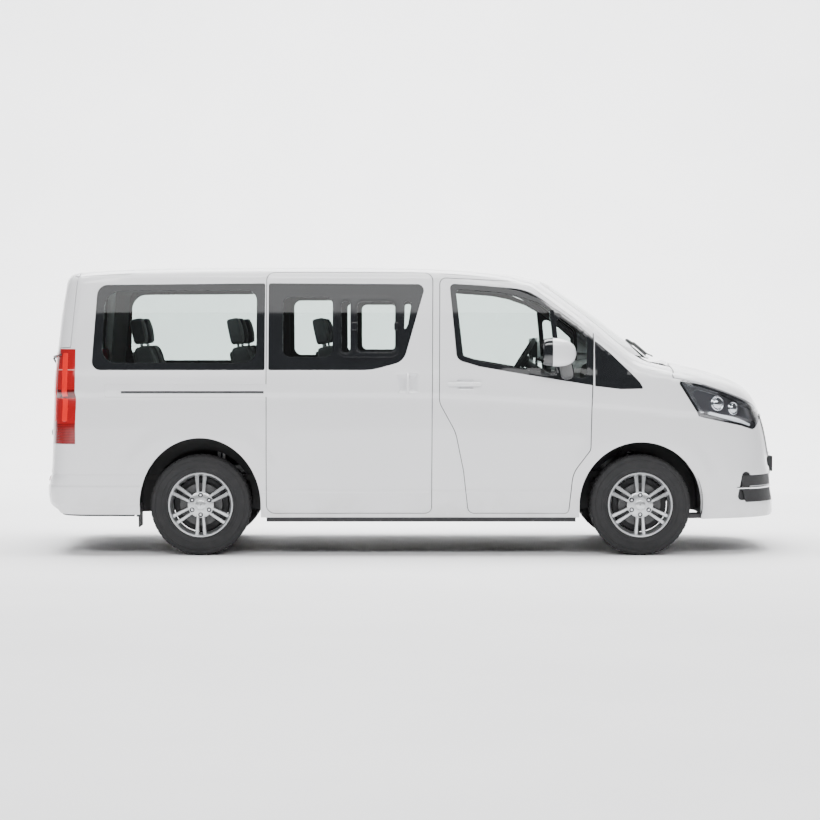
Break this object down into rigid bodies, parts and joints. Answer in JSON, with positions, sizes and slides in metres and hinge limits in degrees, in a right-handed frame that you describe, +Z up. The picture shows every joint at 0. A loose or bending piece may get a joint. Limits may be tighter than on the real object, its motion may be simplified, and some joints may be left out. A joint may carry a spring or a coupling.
{
  "type": "minibus",
  "caption": "Semi-bonneted minibus with sliding side doors, opening front doors, bonnet and lift-up tailgate, steered front wheels and rows of seats in a hollow cabin.",
  "frame": {"origin": "on the ground, midway along the body and on its centreline", "axes": "+X towards the nose, +Y to the vehicle's left, +Z up"},
  "size_m": [5.3, 2.353, 2.07],
  "materials": {
    "body_paint": "pearl white gloss",
    "painted_plastic": "pearl white gloss",
    "window_glass": "grey-green tint",
    "lamp_clear": "clear",
    "lamp_red": "clear red",
    "black_plastic": "grained",
    "upholstery": "woven",
    "chassis_metal": "satin black",
    "alloy": "bright silver",
    "tyre": "matt"
  },
  "bodies": {
    "body": {"floor_pan": "chassis_metal", "bulkhead": "chassis_metal", "roof_panel": "body_paint", "side_panel_right": "body_paint", "side_panel_left": "body_paint", "wing_right": "body_paint", "wing_left": "body_paint", "cowl": "black_plastic", "front_bumper": "painted_plastic", "rear_bumper": "painted_plastic", "grille": "black_plastic", "headlamps": "lamp_clear", "tail_lamps": "lamp_red", "windscreen": "window_glass", "quarter_glass": "window_glass", "wipers": "black_plastic", "dashboard": "black_plastic", "front_seats": "upholstery", "second_row_seats": "upholstery", "third_row_seats": "upholstery", "fourth_row_seats": "upholstery", "engine_block": "chassis_metal", "fuel_tank": "chassis_metal", "exhaust": "chassis_metal", "spare_wheel": "tyre", "front_suspension": "chassis_metal", "rear_axle": "chassis_metal", "mud_flaps": "black_plastic", "sliding_door_right": "body_paint", "sliding_door_left": "body_paint", "sliding_door_glass": "window_glass"},
    "front_door_right": {"front_door_right": "body_paint", "front_door_glass_right": "window_glass", "mirror_right": "painted_plastic"},
    "front_door_left": {"front_door_left": "body_paint", "front_door_glass_left": "window_glass", "mirror_left": "painted_plastic"},
    "tailgate": {"tailgate": "body_paint", "tailgate_glass": "window_glass"},
    "bonnet": {"bonnet": "body_paint"},
    "knuckle_right": {"knuckle_right": "chassis_metal"},
    "knuckle_left": {"knuckle_left": "chassis_metal"},
    "steering_wheel": {"steering_wheel": "black_plastic"},
    "wheel_front_right": {"wheel_front_right": "alloy", "tyre_front_right": "tyre"},
    "wheel_front_left": {"wheel_front_left": "alloy", "tyre_front_left": "tyre"},
    "wheel_rear_right": {"wheel_rear_right": "alloy", "tyre_rear_right": "tyre"},
    "wheel_rear_left": {"wheel_rear_left": "alloy", "tyre_rear_left": "tyre"}
  },
  "joints": [
    {"name": "front_door_right_hinge", "type": "hinge", "parent": "body", "child": "front_door_right", "pos_m": [1.214, -0.952, 1], "axis": [0, 0, 1], "range_deg": [0, 68]},
    {"name": "front_door_left_hinge", "type": "hinge", "parent": "body", "child": "front_door_left", "pos_m": [1.214, 0.952, 1], "axis": [0, 0, -1], "range_deg": [0, 68]},
    {"name": "tailgate_hinge", "type": "hinge", "parent": "body", "child": "tailgate", "pos_m": [-2.392, 0, 2.036], "axis": [0, 1, 0], "range_deg": [0, 82]},
    {"name": "bonnet_hinge", "type": "hinge", "parent": "body", "child": "bonnet", "pos_m": [1.77, 0, 1.326], "axis": [0, -1, 0], "range_deg": [0, 55]},
    {"name": "steer_right", "type": "hinge", "parent": "body", "child": "knuckle_right", "pos_m": [1.61, -0.751, 0.359], "axis": [0, 0, 1], "range_deg": [-34, 34]},
    {"name": "steer_left", "type": "hinge", "parent": "body", "child": "knuckle_left", "pos_m": [1.61, 0.751, 0.359], "axis": [0, 0, 1], "range_deg": [-34, 34]},
    {"name": "steering_wheel_turn", "type": "hinge", "parent": "body", "child": "steering_wheel", "pos_m": [0.798, -0.4, 1.368], "axis": [-0.848, 0, 0.5299], "range_deg": [-512, 512]},
    {"name": "wheel_front_right_spin", "type": "hinge", "parent": "knuckle_right", "child": "wheel_front_right", "pos_m": [1.61, -0.833, 0.359], "axis": [0, 1, 0], "continuous": true},
    {"name": "wheel_front_left_spin", "type": "hinge", "parent": "knuckle_left", "child": "wheel_front_left", "pos_m": [1.61, 0.833, 0.359], "axis": [0, 1, 0], "continuous": true},
    {"name": "wheel_rear_right_spin", "type": "hinge", "parent": "body", "child": "wheel_rear_right", "pos_m": [-1.52, -0.833, 0.359], "axis": [0, 1, 0], "continuous": true},
    {"name": "wheel_rear_left_spin", "type": "hinge", "parent": "body", "child": "wheel_rear_left", "pos_m": [-1.52, 0.833, 0.359], "axis": [0, 1, 0], "continuous": true}
  ],
  "couplings": [
    {"joint": "steer_left", "follows": "steer_right", "ratio": 1},
    {"joint": "steering_wheel_turn", "follows": "steer_right", "ratio": 15}
  ]
}
